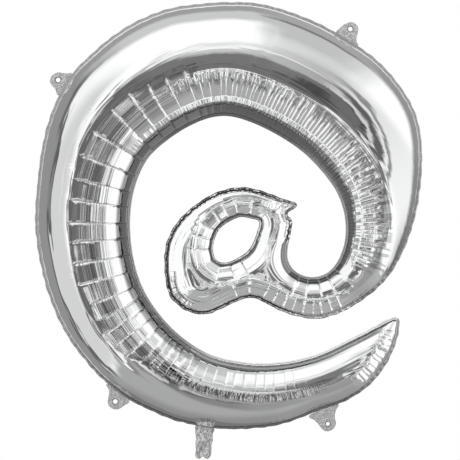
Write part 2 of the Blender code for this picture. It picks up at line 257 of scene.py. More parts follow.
def plain_marks(seam):
    """The marks between the gathered stretches of a seam."""
    marks = np.arange(0, seam.length, plain_step)
    for line in groups.values():
        if line["seam"] is seam:
            low_end, high_end = line["places"][0] - 0.0012, line["places"][-1] + 0.0012
            for turn in (0, seam.length):
                marks = marks[(marks + turn < low_end) | (marks + turn > high_end)]
    return marks


def tree_of(points):
    """The points, sorted for finding the nearest one."""
    tree = KDTree(len(points))
    for i, p in enumerate(points):
        tree.insert((p[0], p[1], 0.0), i)
    tree.balance()
    return tree


def find_in(tree, points):
    """Distance to the nearest point of the tree and its index."""
    found = [tree.find((p[0], p[1], 0.0)) for p in points]
    return np.array([f[2] for f in found]), np.array([f[1] for f in found])


seam_tree = tree_of(np.concatenate(loops))
taken = {}
cell = 0.0024


def room_for(p, least):
    """True if no accepted point is nearer than least."""
    i, j = int(p[0] // cell), int(p[1] // cell)
    for a in (i - 1, i, i + 1):
        for b in (j - 1, j, j + 1):
            for q in taken.get((a, b), ()):
                if math.hypot(p[0] - q[0], p[1] - q[1]) < least:
                    return False
    return True


def accept(points, least):
    """Takes each point into the layout that has room there."""
    for p in points:
        if room_for(p, least):
            layout.append(p)
            taken.setdefault((int(p[0] // cell), int(p[1] // cell)), []).append(p)


rim = []
marks_of = {}
for seam in (outer_seam, hole_seam):
    sets = [crease_marks(line) for line in groups.values() if line["seam"] is seam]
    marks = np.unique(np.round(np.mod(np.concatenate(sets + [plain_marks(seam)]), seam.length), 6))
    marks = marks[np.concatenate([[True], np.diff(marks) > 0.00035])]
    marks_of[seam] = marks
    rim.append(seam.at(marks)[0])
layout = list(np.concatenate(rim))
for depth in rows[:rows_at_seal]:
    for seam in (outer_seam, hole_seam):
        base, inward = seam.at(marks_of[seam])
        points = base + inward * depth
        gap, _ = find_in(seam_tree, points)
        accept(points[gap > depth * nearly - 0.00005], least_at_seal)
for line in groups.values():
    seam = line["seam"]
    base, inward = seam.at(crease_marks(line))
    own = tree_of(seam.at(np.arange(line["places"][0], line["places"][-1], loop_step))[0])
    for depth in rows[rows_at_seal:]:
        if depth > line["reach"].max() * 1.02:
            continue
        points = base + inward * depth
        gap, _ = find_in(seam_tree, points)
        mine, _ = find_in(own, points)
        # A pleat may run on where the seam opposite is nearer, down to about half its own depth.
        accept(points[(gap > 0.52 * depth) & (mine > depth * nearly)], least_on_pleats)
for depth in rows[rows_at_seal:]:
    for seam in (outer_seam, hole_seam):
        base, inward = seam.at(plain_marks(seam))
        points = base + inward * depth
        gap, _ = find_in(seam_tree, points)
        accept(points[gap > depth * nearly], least_elsewhere)


def inside(points, rims):
    """Even-odd test of points against the rims."""
    odd = np.zeros(len(points), bool)
    for part in rims:
        a, b = part, np.roll(part, -1, axis=0)
        rise = b[:, 1] - a[:, 1]
        rise[np.abs(rise) < 1e-12] = 1e-12
        lean = (b[:, 0] - a[:, 0]) / rise
        for k in range(0, len(points), 2000):
            x, z = points[k : k + 2000, 0:1], points[k : k + 2000, 1:2]
            cross = ((a[:, 1] > z) != (b[:, 1] > z)) & (x < lean * (z - a[:, 1]) + a[:, 0])
            odd[k : k + 2000] ^= (cross.sum(axis=1) % 2).astype(bool)
    return odd


def joined(points, rims):
    """The points and their triangles between the rims, whose own points come first."""
    edges, first = [], 0
    for part in rims:
        edges += [(first + k, first + (k + 1) % len(part)) for k in range(len(part))]
        first += len(part)
    points, _, triangles, _, _, _ = delaunay_2d_cdt([Vector(p) for p in points], edges, [], 0, 1e-7)
    points, triangles = np.array([(v.x, v.y) for v in points]), np.array(triangles)
    triangles = triangles[inside(points[triangles].mean(axis=1), rims)]
    a, b, c = (points[triangles[:, k]] for k in range(3))
    turn = (b[:, 0] - a[:, 0]) * (c[:, 1] - a[:, 1]) - (b[:, 1] - a[:, 1]) * (c[:, 0] - a[:, 0])
    triangles, turn = triangles[np.abs(turn) > 1e-12], turn[np.abs(turn) > 1e-12]
    triangles[turn < 0] = triangles[turn < 0][:, ::-1]
    return points, triangles


flat, faces = joined(layout, rim)

# The filled shape. Gas pushes evenly on the film between the seals, and the height that
# such a load gives a held skin makes round tubes, soft junctions and pinched corners.
fullness = 0.80
most_rounds, settled = 3000, 1e-16
gap, foot = find_in(seam_tree, flat)
lap_corners = to_metres([(196.8, 421.2), (213.6, 421.2), (213.6, 427.6), (196.8, 425.0)])
low, high = lap_corners.min(axis=0), lap_corners.max(axis=0)
on_lap = np.all((flat > low - 0.0002) & (flat < high + 0.0002), axis=1)
held = (gap < seal_width + 0.0001) | on_lap
count = len(flat)
a, b, c = (flat[faces[:, k]] for k in range(3))
area = 0.5 * ((b[:, 0] - a[:, 0]) * (c[:, 1] - a[:, 1]) - (b[:, 1] - a[:, 1]) * (c[:, 0] - a[:, 0]))
sides = [c - b, a - c, b - a]
load = np.bincount(faces.ravel(), weights=np.repeat(area / 3, 3), minlength=count)
row_of, column_of, weight_of = [], [], []
for i in range(3):
    for j in range(3):
        row_of.append(faces[:, i])
        column_of.append(faces[:, j])
        weight_of.append((sides[i] * sides[j]).sum(1) / (4 * area))
row_of, column_of, weight_of = (np.concatenate(v) for v in (row_of, column_of, weight_of))
use = ~held[row_of] & ~held[column_of]
row_of, column_of, weight_of = row_of[use], column_of[use], weight_of[use]
own = row_of == column_of
stiff = np.bincount(row_of[own], weights=weight_of[own], minlength=count)
stiff[held] = 1.0
load[held] = 0.0
level = np.where(held, 0, gap * 0.03)
rest = load - np.bincount(row_of, weights=weight_of * level[column_of], minlength=count)
rest[held] = 0.0
scaled = rest / stiff
move = scaled.copy()
power = float(rest @ scaled)
first_power = power
for _ in range(most_rounds):
    pushed = np.bincount(row_of, weights=weight_of * move[column_of], minlength=count)
    size = power / float(move @ pushed)
    level += size * move
    rest -= size * pushed
    scaled = rest / stiff
    fresh = float(rest @ scaled)
    if fresh < settled * first_power:
        break
    move = scaled + (fresh / power) * move
    power = fresh
height = fullness * np.sqrt(2 * np.maximum(level, 0))


def surface_normals(points):
    """The way out of the film at every point."""
    tri = points[faces]
    cross = np.cross(tri[:, 1] - tri[:, 0], tri[:, 2] - tri[:, 0])
    normal = np.zeros_like(points)
    for k in range(3):
        for axis in range(3):
            normal[:, axis] += np.bincount(faces[:, k], weights=cross[:, axis], minlength=len(points))
    return normal / np.maximum(np.linalg.norm(normal, axis=1), 1e-15)[:, None]


plump = np.stack([flat[:, 0], -height, flat[:, 1]], axis=1)
out_of_film = surface_normals(plump)
if out_of_film[:, 1].mean() > 0:
    out_of_film = -out_of_film


def smooth_step(x, low_edge, high_edge):
    """A smooth step from 0 to 1 between two values."""
    t = np.clip((x - low_edge) / (high_edge - low_edge), 0, 1)
    return t * t * (3 - 2 * t)


def soft_band(x, start, full, fade, end):
    """A soft band that rises from start to full and falls from fade to end."""
    return smooth_step(x, start, full) * (1 - smooth_step(x, fade, end))


# Each group of gathers pulls the film towards its seam between two creases, which makes the
# flat facets of a pleated tube, and sinks a groove along each crease.
shift = np.zeros((count, 3))
fold, facet, ripples, shade, in_ring = (np.zeros(count) for _ in range(5))
from_crease = np.full(count, 0.02)
spanned = np.full(count, 3.0)
hole_start = 10.0
way_round = np.concatenate([outer_seam.way[:-1], hole_seam.way[:-1] + hole_start])
film_uv = np.stack([way_round[foot], gap], axis=1)
bottom_start = outer_seam.nearest((206, 353))
shaded_width = {"ring": 0.0248, "bend": 0.0140, "letter hole": 0.0085}
right_turns = [outer_seam.nearest(spot) for spot in ((338, 261), (345, 240), (344, 210), (318, 167))]
ring_reach = 0.18
for number, (name, line) in enumerate(groups.items()):
    seam, places = line["seam"], line["places"]
    begin, stop = places[0], places[-1]
    samples = np.arange(begin, stop, loop_step)
    base, inward = seam.at(samples)
    near = np.nonzero(gap > seal_width - 0.0001)[0]
    far, i = find_in(tree_of(base), flat[near])
    reached = far < (ring_reach if name == "ring" else line["reach"].max() * 1.05)
    near, far, i = near[reached], far[reached], i[reached]
    away = flat[near] - base[i]
    side = np.sum(away * inward[i], axis=1)
    ahead = base[np.minimum(i + 1, len(samples) - 1)] - base[np.maximum(i - 1, 0)]
    ahead /= np.linalg.norm(ahead, axis=1)[:, None]
    bend = np.clip(np.interp(np.mod(samples, seam.length), seam.way[:-1], seam.bend), 0, 45)[i]
    s = samples[i] + np.sum(away * ahead, axis=1) / (1 + bend * far)
    own = (side > 0.6 * far) & (s >= begin) & (s <= stop)
    if name != "ring":
        own &= gap[near] > 0.45 * far
    near, far, i, bend, s = near[own], far[own], i[own], bend[own], s[own]
    k = np.clip(np.searchsorted(places, s, side="right") - 1, 0, len(places) - 2)
    span = places[k + 1] - places[k]
    u = (s - places[k]) / span
    spread = 1 + bend * far
    nearest = np.where(u < 0.5, k, k + 1)
    ends = smooth_step(np.minimum(s - begin, stop - s), -0.002, 0.016)
    reach = line["reach"][k] * (1 - u) + line["reach"][k + 1] * u
    fade = (1 - smooth_step(far, line["share"][k] * reach, reach)) * ends
    crease_end = line["reach"][nearest]
    crease_fade = (1 - smooth_step(far, 0.90 * crease_end, crease_end)) * ends
    to_crease = np.minimum(s - places[k], places[k + 1] - s) * spread
    near_seal = smooth_step(far, seal_width, seal_width + 0.007)
    groove = np.clip(1 - to_crease / (line["half"][nearest] * np.sqrt(spread)), 0, 1)
    depth = line["groove"][nearest] * crease_fade * near_seal
    pillow = 4 * u * (1 - u)
    sag = bend * spread * span * span / 8
    pull = 1.1 * sag * pillow * fade
    lean = line["tilt"][k] * (u - 0.5) * fade * near_seal
    shift[near, 0] -= inward[i, 0] * pull
    shift[near, 2] -= inward[i, 1] * pull
    shift[near] += out_of_film[near] * (lean - depth * groove)[:, None]
    stronger = depth > fold[near] - 1e-9
    take = near[stronger]
    fold[take] = depth[stronger]
    from_crease[take] = to_crease[stronger]
    ripples[take] = (line["ripple"][k] * fade * near_seal)[stronger]
    facet[take] = (k + 1 + 100 * number)[stronger]
    spanned[take] = (far / reach)[stronger]

    # What the finish needs to know: the way round and in, and the painted shade of the flank that is in the
    # dark.
    if name == "ring":
        film_uv[near] = np.stack([s, far], axis=1)
        in_ring[near] = ends * (1 - smooth_step(far, 0.150, 0.175))
    else:
        film_uv[take] = np.stack([s, far], axis=1)[stronger]
    if name == "tail end":
        in_ring[take] = 0
    # Painted shade: a dark band is painted along the inner flank of the ring, the bend and the letter's hole.
    if name in shaded_width:
        width = np.full(len(near), shaded_width[name])
        if name == "ring":
            width = np.interp(s, right_turns, [0.0130, 0.0142, 0.0190, shaded_width[name]])
        dark = soft_band(far, seal_width - 0.0004, seal_width + 0.0012, width - 0.0010, width + 0.0012)
        if name == "bend":
            dark *= 1 - groove * crease_fade
        if name == "ring":
            dark *= (0.84 + 0.16 * groove) * (1 - smooth_step(s, bottom_start - 0.06, bottom_start + 0.03))
        dark *= np.where(s - begin < 0.5, 1.0, smooth_step(stop - s, 0, 0.02))
        shade[near] = np.maximum(shade[near], dark)


# The outer edge. The film of the convex edge has too much length for the filled shape, so the
# seal puckers: it waves forward and back and its cut edge looks scalloped.
def uneven_wave(seam, pitch, seed):
    """A closed smooth random wave with bumps about one pitch apart, at every loop point."""
    draw = np.random.default_rng(seed)
    bumps = 2 * max(2, int(round(seam.length / pitch / 2)))
    place = (np.arange(bumps) + draw.uniform(-0.3, 0.3, bumps)) / bumps * seam.length
    value = draw.uniform(0.2, 1, bumps) * np.where(np.arange(bumps) % 2, 1, -1)
    place = np.concatenate([place - seam.length, place, place + seam.length])
    value = np.concatenate([value, value, value])
    at = seam.way[:-1]
    k = np.clip(np.searchsorted(place, at) - 1, 0, len(place) - 2)
    t = (at - place[k]) / (place[k + 1] - place[k])
    t = t * t * (3 - 2 * t)
    return value[k] * (1 - t) + value[k + 1] * t


quiet_spots = to_metres([(65, 85), (347.5, 39), (118, 393), (324, 411), (205, 427)])
forward, cut_in = [], []
for seam, pitch, seed in ((outer_seam, 0.0065, 3), (hole_seam, 0.0055, 5)):
    convex = smooth_step(-seam.bend, -1.0, 2.5)
    quiet = np.ones(seam.count)
    for spot in quiet_spots:
        quiet *= smooth_step(np.linalg.norm(seam.points - spot, axis=1), 0.024, 0.040)
    forward.append(uneven_wave(seam, pitch, seed) * quiet * (0.15 + 0.85 * convex))
    cut_in.append(uneven_wave(seam, pitch * 2.2, seed + 10) * quiet * (0.10 + 0.90 * convex))
forward, cut_in = np.concatenate(forward), np.concatenate(cut_in)
inward_all = np.concatenate([outer_seam.inward, hole_seam.inward])
seal_wave, wave_reach = 0.0009, 0.0060
scallop, scallop_reach = 0.0010, 0.010
wave_forward = seal_wave * forward[foot] * np.exp(-np.maximum(gap - seal_width, 0) / wave_reach)
cut = scallop * cut_in[foot] * np.clip(1 - gap / scallop_reach, 0, 1)
shift[:, 0] += inward_all[foot, 0] * cut
shift[:, 2] += inward_all[foot, 1] * cut

# The letter and the curl that leads to it lie inside the ring, and their seal gets painted shade.
curl, notch = outer_seam.nearest((368, 296)), outer_seam.nearest((291, 236))
on_outer = foot < outer_seam.count
seam_place = outer_seam.way[:-1][np.minimum(foot, outer_seam.count - 1)]
in_curl = soft_band(seam_place, curl, curl + 0.06, notch, notch + 0.02)
inner_part = np.where(on_outer, in_curl, 0.6)

# Painted shade: the flanks of the letter and the underside of the ring, which turn away from the light, are
# painted darker.
underside = smooth_step(inward_all[foot, 1], 0.70, 0.88) * (1 - smooth_step(gap, 0.018, 0.034))
shade = np.maximum(shade, 0.42 * underside * on_outer * (1 - inner_part))

# Painted shade: the left flank of the ring looks into a dimmer part of the room than the pleats on its right,
# so it is painted darker.
turned_by = 2 * np.degrees(np.arccos(np.clip(np.abs(out_of_film[:, 1]), 0, 1)))
flat_turn = np.maximum(np.hypot(out_of_film[:, 0], out_of_film[:, 2]), 1e-6)
to_side, to_top = out_of_film[:, 0] / flat_turn, out_of_film[:, 2] / flat_turn
left_flank = in_ring * smooth_step(film_uv[:, 1], 0.080, 0.092) * (1 - smooth_step(to_side, -0.12, 0.12))
left_flank *= (1 - smooth_step(to_top, 0.55, 0.88)) * (1 - smooth_step(-to_top, 0.70, 0.78))
left_flank *= soft_band(turned_by, 35.5, 38.5, 82.5, 86.5)


def skin(name, points, triangles, marks, flipped=False, soft_walls=True):
    """A thin closed film: the points of its outer face come first, then those of its inner face."""
    half = len(points) // 2
    ways = {(int(f[k]), int(f[(k + 1) % 3])) for f in triangles for k in range(3)}
    walls = []
    for i, j in sorted(ways):
        if (j, i) not in ways:
            walls += [(i, i + half, j + half), (i, j + half, j)]
    polygons = np.concatenate([triangles, triangles[:, ::-1] + half, np.array(walls)])
    if flipped:
        polygons = polygons[:, ::-1]
    mesh = bpy.data.meshes.new(name)
    mesh.from_pydata(points.tolist(), [], polygons.tolist())
    smooth = np.ones(len(polygons), bool)
    smooth[2 * len(triangles) :] = soft_walls
    mesh.polygons.foreach_set("use_smooth", smooth)
    for title, values in marks.items():
        layer = mesh.attributes.new(title, "FLOAT", "POINT")
        layer.data.foreach_set("value", np.tile(values, 2))
    mesh.update()
    piece = bpy.data.objects.new(name, mesh)
    bpy.context.scene.collection.objects.link(piece)
    return piece


film_thick = 0.00030
seal_rise = 0.00055
sheet_marks = {
    "ripple": ripples,
    "edge": gap,
    "ring": in_ring,
    "letter": inner_part,
    "shade": shade,
    "spanned": spanned,
    "left_flank": left_flank,
}


def sheet(name, side):
    """One film sheet; side is -1 for the front, 1 for the back."""
    outer = plump + shift
    outer[:, 1] -= seal_rise
    inner = outer - out_of_film * film_thick
    inner[held] = outer[held] + np.array([0.0, film_thick, 0.0])
    points = np.concatenate([outer, inner])
    if side > 0:
        points[:, 1] *= -1
    points[:, 1] += np.tile(wave_forward, 2)
    piece = skin(name, points, faces, sheet_marks, flipped=side > 0)
    mesh = piece.data
    corners = np.zeros(len(mesh.loops), int)
    mesh.loops.foreach_get("vertex_index", corners)
    uv_map = mesh.uv_layers.new(name="film")
    uv_map.data.foreach_set("uv", np.tile(film_uv, (2, 1))[corners].ravel())
    corner_facet = np.zeros(len(mesh.polygons))
    corner_facet[: len(faces)] = np.median(facet[faces], axis=1)
    layer = mesh.attributes.new("facet", "FLOAT", "FACE")
    layer.data.foreach_set("value", corner_facet)
    edges = np.zeros(2 * len(mesh.edges), int)
    mesh.edges.foreach_get("vertices", edges)
    on_line = np.tile((from_crease < 0.00008) & (fold > 0.00012), 2)
    sharp = mesh.attributes.new("sharp_edge", "BOOLEAN", "EDGE")
    sharp.data.foreach_set("value", on_line[edges.reshape(-1, 2)].all(axis=1))
    mesh.update()
    return piece


class Wire:
    """A value of a node tree that takes part in arithmetic."""

    def __init__(self, tree, socket):
        self.tree = tree
        self.socket = socket

    def _join(self, operation, other, swap=False):
        pair = (other, self) if swap else (self, other)
        return self.tree.add("ShaderNodeMath", {"operation": operation}, dict(enumerate(pair)))["Value"]

    def __add__(self, other):
        return self._join("ADD", other)

    def __radd__(self, other):
        return self._join("ADD", other, True)

    def __sub__(self, other):
        return self._join("SUBTRACT", other)

    def __rsub__(self, other):
        return self._join("SUBTRACT", other, True)

    def __mul__(self, other):
        return self._join("MULTIPLY", other)

    def __rmul__(self, other):
        return self._join("MULTIPLY", other, True)

    def __truediv__(self, other):
        return self._join("DIVIDE", other)


class Tree:
    """A node tree that is built by name."""

    def __init__(self, tree):
        self.tree = tree
        tree.nodes.clear()

    def add(self, kind, settings=None, values=None):
        """A node with its settings, and with values or wires on its sockets; gives its outputs."""
        node = self.tree.nodes.new(kind)
        for key, value in (settings or {}).items():
            if key == "stops":
                ramp = node.color_ramp
                while len(ramp.elements) < len(value):
                    ramp.elements.new(0.5)
                for element, (place, tone) in zip(ramp.elements, value):
                    element.position = place
                    element.color = (tone, tone, tone, 1.0)
            else:
                setattr(node, key, value)
        for key, value in (values or {}).items():
            named = [socket for socket in node.inputs if socket.name == key and socket.enabled]
            socket = named[0] if named else node.inputs[key]
            wires = value if isinstance(value, list) else [value]
            if isinstance(wires[0], Wire):
                for wire in wires:
                    self.tree.links.new(wire.socket, socket)
            else:
                socket.default_value = value
        return {out.name: Wire(self, out) for out in node.outputs if out.enabled}

    def step(self, value, low_edge, high_edge):
        """A smooth step from 0 to 1 between two values."""
        settings = {"interpolation_type": "SMOOTHSTEP"}
        values = {"Value": value, "From Min": low_edge, "From Max": high_edge}
        return self.add("ShaderNodeMapRange", settings, values)["Result"]

    def fall(self, value, low_edge, high_edge):
        """A smooth step from 1 to 0 between two values."""
        return 1.0 - self.step(value, low_edge, high_edge)

    def band(self, value, start, full, fade, end):
        """A soft band that rises from start to full and falls from fade to end."""
        return self.step(value, start, full) * self.fall(value, fade, end)

    def stored(self, title):
        """A number that the mesh carries."""
        return self.add("ShaderNodeAttribute", {"attribute_name": title})["Fac"]

    def spot(self, x, y, z=0.0):
        """Three numbers as one place."""
        return self.add("ShaderNodeCombineXYZ", None, {0: x, 1: y, 2: z})["Vector"]

    def noise(self, place, scale, detail, rough=0.5, kind="3D"):
        """Soft random unevenness."""
        values = {"Vector": place, "Scale": scale, "Detail": detail, "Roughness": rough}
        return self.add("ShaderNodeTexNoise", {"noise_dimensions": kind}, values)["Fac"]

    def grain(self, across, along, detail, rough=0.5):
        """Unevenness over two measures of a film."""
        return self.noise(self.spot(across, along), 1.0, detail, rough, "2D")

    def dots(self, place, scale):
        """The distance to the nearest of many scattered points."""
        values = {"Vector": place, "Scale": scale}
        return self.add("ShaderNodeTexVoronoi", {"feature": "F1"}, values)["Distance"]

    def color(self, red, green, blue):
        """Three numbers as one colour."""
        return self.add("ShaderNodeCombineColor", None, {0: red, 1: green, 2: blue})["Color"]

    def raised(self, height, strength=1.0, values=None):
        """The normal of a surface with small relief."""
        values = {"Height": height, "Distance": 1.0, "Strength": strength} | (values or {})
        return self.add("ShaderNodeBump", None, values)["Normal"]

    def surface(self, values):
        """The surface that the tree gives its material."""
        shader = self.add("ShaderNodeBsdfPrincipled", None, values)["BSDF"]
        self.add("ShaderNodeOutputMaterial", None, {"Surface": shader})


def new_finish(name):
    """A material and its empty node tree."""
    material = bpy.data.materials.new(name)
    material.use_nodes = True
    return material, Tree(material.node_tree)


# Silver film: a vapour-deposited mirror on a thin clear sheet. It is bright and neutral, with a
# faint haze, a long soft ripple and short crinkles across the pleated side.
silver, film = new_finish("silver film")
ring_start = outer_seam.nearest((338, 261))
ring_top = outer_seam.nearest((250, 122))
ring_bottom = outer_seam.nearest((204, 352))
ring_foot = outer_seam.nearest((300, 359.5))
curl_low = outer_seam.nearest((318, 307))
letter_low = outer_seam.nearest((288, 300))
tip_top = outer_seam.nearest((266, 192))
tip_foot = outer_seam.nearest((290, 222))
place = film.add("ShaderNodeTexCoord")["Object"]
split = film.add("ShaderNodeSeparateXYZ", None, {0: film.add("ShaderNodeUVMap", {"uv_map": "film"})["UV"]})
round_way, depth_in = split["X"], split["Y"]
edge, ring, letter, facet_of, ripple = (film.stored(t) for t in ("edge", "ring", "letter", "facet", "ripple"))
shaded, near_end, left_shade = (film.stored(t) for t in ("shade", "spanned", "left_flank"))
seal_line = film.fall(edge, 0.0046, 0.0056)
calm = 1.0 - shaded * 0.8

# Facets between two creases are broken across, and each part lies at its own small angle.
part_rows = depth_in * 112.0 + facet_of * 0.37
part_number = film.add("ShaderNodeMath", {"operation": "FLOOR"}, {0: part_rows})["Value"]
part_of = {"Vector": film.spot(part_number, facet_of)}
random_tilt = film.add("ShaderNodeTexWhiteNoise", {"noise_dimensions": "2D"}, part_of)["Color"]
turned = film.add("ShaderNodeSeparateColor", None, {0: random_tilt})
most_along, most_across = 300.0, 520.0
lean_along = (turned["Red"] - 0.5) * ripple * calm * most_along
lean_across = (turned["Green"] - 0.5) * ripple * calm * most_across

# The comb of short upright folds at the feet of the fine pleats, which the light catches.
comb_depth = depth_in + 0.0085 * film.fall(round_way, ring_start + 0.04, ring_start + 0.16)
inner_comb = film.band(comb_depth, 0.0245, 0.0260, 0.0345, 0.0370) * ring
inner_comb = inner_comb * film.fall(round_way, ring_top + 0.10, ring_top + 0.25)
comb_lean = inner_comb * (0.37 - (comb_depth - 0.0255) * 8.0)
comb_lean = comb_lean * (0.75 + 0.25 * film.step(round_way, ring_top - 0.28, ring_top - 0.17))
comb_face = film.step(comb_depth, 0.036, 0.040) * film.fall(depth_in, 0.054, 0.062) * ring
comb_face = comb_face * film.fall(round_way, ring_top - 0.24, ring_top - 0.08)
lean_across = lean_across + comb_lean + comb_face * 0.15

# The letter's flange lies flatter than the flank above it.
past_curl = film.step(round_way, letter_low - 0.02, letter_low + 0.03)
flange_lean = letter * film.fall(edge, 0.0040, 0.0046) * (-0.165 - past_curl * 0.175)
flank_lean = letter * film.band(edge, 0.0062, 0.0070, 0.010, 0.020) * 0.26
lean_across = lean_across + flange_lean + flank_lean
leaning = film.color(0.5 + lean_along, 0.5 + lean_across, 1.0)
facet_normal = film.add("ShaderNodeNormalMap", {"uv_map": "film"}, {"Color": leaning})["Normal"]

# Finer relief: stripes across a pleat, the fold at a pleat's end, long folds along the tube,
# crumpled film along the bottom and the soft unevenness of the whole sheet.
bands = film.grain(depth_in * 430.0, facet_of * 5.37, 2.0, 0.6)
long_folds = film.grain(round_way * 4.0 + depth_in * 12.0, depth_in * 105.0, 1.0)
slanted = film.spot(round_way * 9.0 + depth_in * 22.0, depth_in * 48.0, 4.0)
slant_folds = film.noise(slanted, 1.0, 1.5, 0.55)
crumple = film.grain(round_way * 240.0, depth_in * 55.0, 2.0, 0.6)
pucker = film.grain(round_way * 170.0, edge * 120.0, 1.0)
teeth = film.grain(round_way * 210.0, depth_in * 20.0, 1.0)
soft = film.noise(place, 20.0, 1.5, 0.45)
knurl = film.dots(place, 520.0)


# Where each kind of relief lies.
def patch(depth, depths, ways):
    """A soft patch of the ring: four depths from the seam, then four ways round it."""
    return film.band(depth, *depths) * film.band(round_way, *ways)


crown_ways = (ring_start + 0.03, ring_start + 0.10, ring_top - 0.05, ring_top + 0.12)
near_crown = patch(depth_in, (0.076, 0.088, 0.092, 0.110), crown_ways)
tail_part = film.step(round_way, ring_foot, ring_foot + 0.10)
outer_side = film.step(depth_in, 0.100, 0.120) * film.step(round_way, ring_top + 0.05, ring_top + 0.20)
crumpled_ways = (ring_bottom - 0.08, ring_bottom - 0.01, ring_foot - 0.02, ring_foot + 0.05)
crumpled = patch(depth_in, (0.052, 0.059, 0.069, 0.077), crumpled_ways) * ring
frayed = depth_in + (teeth - 0.5) * 0.016
comb_ways = (ring_top - 0.12, ring_top - 0.01, ring_top + 0.08, ring_top + 0.15)
outer_comb = patch(frayed, (0.064, 0.072, 0.0805, 0.0845), comb_ways) * ring
# right_face, upper_face and low_right mark faces of the ring that are painted darker as shade; low_right also
# carries long folds.
right_face = film.step(depth_in, 0.088, 0.104) * film.fall(round_way, ring_top - 0.10, ring_top + 0.02) * ring
upper_face = right_face * film.step(round_way, ring_start + 0.10, ring_start + 0.20)
low_right = film.step(depth_in, 0.085, 0.100) * film.fall(edge, 0.014, 0.036) * ring
low_right = low_right * film.fall(round_way, ring_start + 0.03, ring_start + 0.10)
pleat_end = film.band(near_end, 0.80, 0.88, 0.90, 0.98)
pucker_line = film.fall(edge, 0.0050, 0.0085) * letter
letter_face = letter * film.step(edge, 0.0062, 0.0100)
ring_folds = (near_crown * 0.0013 + tail_part * 0.0014 + low_right * 0.0030 + 0.0002) * ring
relief = long_folds * (ring_folds + letter_face * 0.0028) + slant_folds * outer_side * ring * 0.0040
relief = relief + bands * ripple * calm + crumple * crumpled * 0.0018 + pucker * pucker_line * 0.0026
relief = relief + teeth * (inner_comb * 0.0060 + outer_comb * 0.0050) + pleat_end * letter * 0.0016
relief = relief + soft * 0.0009 + knurl * seal_line * 0.00010

# Painted shade: the pressed lines of the seal and the letter's cut edge are painted dark, and so are the
# flanks and folds that see the dark of the room.
dashes = film.step(film.grain(round_way * 150.0, 0.0, 1.0), 0.42, 0.52)
wavering = edge + (pucker - 0.5) * 0.0030
seal_foot = film.band(wavering, 0.0036, 0.0042, 0.0066, 0.0076)
cut_line = film.fall(edge, 0.0010, 0.0019) * dashes
letter_shade = letter * (0.18 + 0.82 * film.step(round_way, curl_low, letter_low))
at_tip = film.band(round_way, tip_top, tip_top + 0.02, tip_foot, tip_foot + 0.02)
letter_shade = letter_shade * (1.0 - 0.62 * at_tip)
letter_seal_shade = letter_shade * (seal_foot * 0.93 + cut_line * 0.45) * (1.0 - shaded)
low_seal = film.band(round_way, ring_bottom - 0.06, ring_bottom + 0.04, hole_start - 1.0, hole_start - 0.5)
# Two thin lines of painted shade along the bottom seal.
low_shade_lines = film.band(depth_in, 0.0044, 0.0050, 0.0072, 0.0080) * 0.80
low_shade_lines = (low_shade_lines + film.band(depth_in, 0.0106, 0.0116, 0.0142, 0.0152) * 0.64) * low_seal
plain_seal = (1.0 - letter) * (1.0 - low_seal)
seal_shadow = plain_seal * film.band(edge, 0.0042, 0.0048, 0.0068, 0.0080) * 0.30
# Painted shade: dark stripes across the pleats past the top, and dark ticks at the comb's end.
past_top = film.step(round_way, ring_top + 0.06, ring_top + 0.16)
striped = film.band(depth_in, 0.040, 0.052, 0.080, 0.094) * past_top * ring
stripes = film.step(bands, 0.46, 0.56) * striped * ripple * 1500.0
comb_end = film.step(frayed, 0.056, 0.064) * film.fall(depth_in, 0.084, 0.092) * ring
ticks = film.step(teeth, 0.46, 0.56) * comb_end * (1.0 - past_top) * 0.40
# The low face of the ring is painted darker as shade.
low_ways = (ring_bottom - 0.10, ring_bottom - 0.04, ring_bottom + 0.06, ring_bottom + 0.16)
low_face = patch(depth_in, (0.074, 0.078, 0.086, 0.094), low_ways) * ring
# Painted shade in the crumpled film along the bottom.
crumple_shade = (0.12 + film.step(crumple, 0.44, 0.58) * 0.56) * crumpled
painted_face_shade = right_face * 0.14 + upper_face * 0.13 + low_face * 0.40 + low_right * 0.34 + left_shade * 0.30
# All the painted shade of the film together.
painted_shade = shaded * 0.71 + letter_seal_shade + low_shade_lines + seal_shadow + crumple_shade + painted_face_shade + stripes + ticks
# The film's tone: the letter a little lighter, all the painted shade taken off, and the seal band of the ring
# painted darker as shade.
tone = (0.92 + 0.05 * letter) * (1.0 - painted_shade) * (1.0 - seal_line * plain_seal * 0.48)
film.surface(
    {
        "Base Color": film.color(tone, tone * 1.006, tone * 1.008),
        "Metallic": 1.0,
        "Roughness": 0.045 + seal_line * (0.26 - 0.22 * letter),
        "Normal": film.raised(relief, 1.0, {"Normal": facet_normal}),
    }
)

for node, side in (("front_panel", -1), ("back_panel", 1)):
    piece = sheet(node.replace("_panel", "_film"), side)
    piece.data.materials.append(silver)
    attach(piece, "envelope")
    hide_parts(node)

